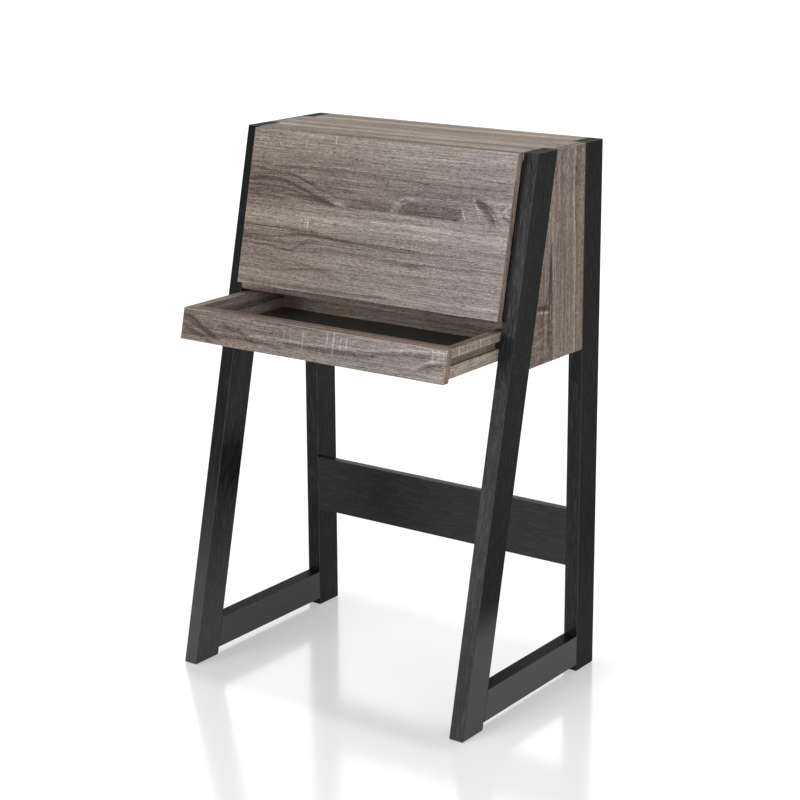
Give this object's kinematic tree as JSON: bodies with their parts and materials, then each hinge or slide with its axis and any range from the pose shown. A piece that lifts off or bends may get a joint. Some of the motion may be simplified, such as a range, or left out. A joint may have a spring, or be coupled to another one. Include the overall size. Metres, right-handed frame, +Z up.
{
  "type": "writing desk",
  "caption": "Fall-front writing desk: black A-shaped side frames carry a grey oak case with a fold-down front and a shallow drawer, joined low at the back by a stretcher.",
  "frame": {"origin": "on the floor, midway between the desk's left and right sides, and midway between its back and the front of the drawer as the picture shows it, pulled out", "axes": "+X to the desk's right as seen from the front, +Y to the back, +Z up"},
  "size_m": [0.67, 0.481, 1.05],
  "materials": {
    "black_frame": "black wood-grain embossed laminate, satin",
    "grey_oak": "grey-brown distressed oak laminate, satin",
    "black_board": "black thin board, satin",
    "runner_black": "black, satin",
    "fitting_steel": "bright zinc",
    "glide_nylon": "matt"
  },
  "bodies": {
    "desk": {"front_leg_left": "black_frame", "front_leg_right": "black_frame", "back_leg_left": "black_frame", "back_leg_right": "black_frame", "bottom_rail_left": "black_frame", "bottom_rail_right": "black_frame", "rear_stretcher": "black_frame", "front_glide_left": "glide_nylon", "front_glide_right": "glide_nylon", "back_glide_left": "glide_nylon", "back_glide_right": "glide_nylon", "top_panel": "grey_oak", "worktop": "grey_oak", "back_panel": "grey_oak", "inner_shelf": "grey_oak", "shelf_divider": "grey_oak", "side_panel_left": "grey_oak", "side_panel_right": "grey_oak", "worktop_cleat_left": "black_frame", "worktop_cleat_right": "black_frame", "top_cleat_left": "black_frame", "top_cleat_right": "black_frame", "shelf_pin_front_left": "fitting_steel", "shelf_pin_front_right": "fitting_steel", "shelf_pin_back_left": "fitting_steel", "shelf_pin_back_right": "fitting_steel", "hinge_case_leaf_left": "fitting_steel", "hinge_case_leaf_right": "fitting_steel", "hinge_pin_left": "fitting_steel", "hinge_pin_right": "fitting_steel", "stay_plate_left": "fitting_steel", "stay_plate_right": "fitting_steel", "drawer_runner_left": "runner_black", "drawer_runner_right": "runner_black", "drawer_stop": "runner_black"},
    "fall": {"fall_front": "grey_oak", "hinge_fall_leaf_left": "fitting_steel", "hinge_fall_leaf_right": "fitting_steel", "stay_foot_left": "fitting_steel", "stay_foot_right": "fitting_steel"},
    "long_arm_left": {"stay_long_arm_left": "fitting_steel"},
    "long_arm_right": {"stay_long_arm_right": "fitting_steel"},
    "short_arm_left": {"stay_short_arm_left": "fitting_steel"},
    "short_arm_right": {"stay_short_arm_right": "fitting_steel"},
    "drawer": {"drawer_front": "grey_oak", "drawer_inner_front": "grey_oak", "drawer_side_left": "grey_oak", "drawer_side_right": "grey_oak", "drawer_back": "grey_oak", "drawer_bottom": "black_board"}
  },
  "joints": [
    {"name": "fall_hinge", "type": "hinge", "parent": "desk", "child": "fall", "pos_m": [0, -0.05573, 0.75], "axis": [1, 0, 0], "range_deg": [0, 102.72]},
    {"name": "long_arm_left_pivot", "type": "hinge", "parent": "desk", "child": "long_arm_left", "pos_m": [-0.3017, 0.00626, 0.802], "axis": [1, 0, 0], "range_deg": [0, 102.72]},
    {"name": "long_arm_right_pivot", "type": "hinge", "parent": "desk", "child": "long_arm_right", "pos_m": [0.3017, 0.00626, 0.802], "axis": [1, 0, 0], "range_deg": [0, 102.72]},
    {"name": "short_arm_left_pivot", "type": "hinge", "parent": "fall", "child": "short_arm_left", "pos_m": [-0.2994, -0.00091, 0.92933], "axis": [1, 0, 0], "range_deg": [-102.72, 0]},
    {"name": "short_arm_right_pivot", "type": "hinge", "parent": "fall", "child": "short_arm_right", "pos_m": [0.2994, -0.00091, 0.92933], "axis": [1, 0, 0], "range_deg": [-102.72, 0]},
    {"name": "drawer_slide", "type": "slide", "parent": "desk", "child": "drawer", "axis": [0, -1, 0], "range_m": [-0.152, 0.048]}
  ],
  "couplings": [
    {"joint": "long_arm_left_pivot", "follows": "fall_hinge", "ratio": 1},
    {"joint": "long_arm_right_pivot", "follows": "fall_hinge", "ratio": 1},
    {"joint": "short_arm_left_pivot", "follows": "fall_hinge", "ratio": -1},
    {"joint": "short_arm_right_pivot", "follows": "fall_hinge", "ratio": -1}
  ]
}
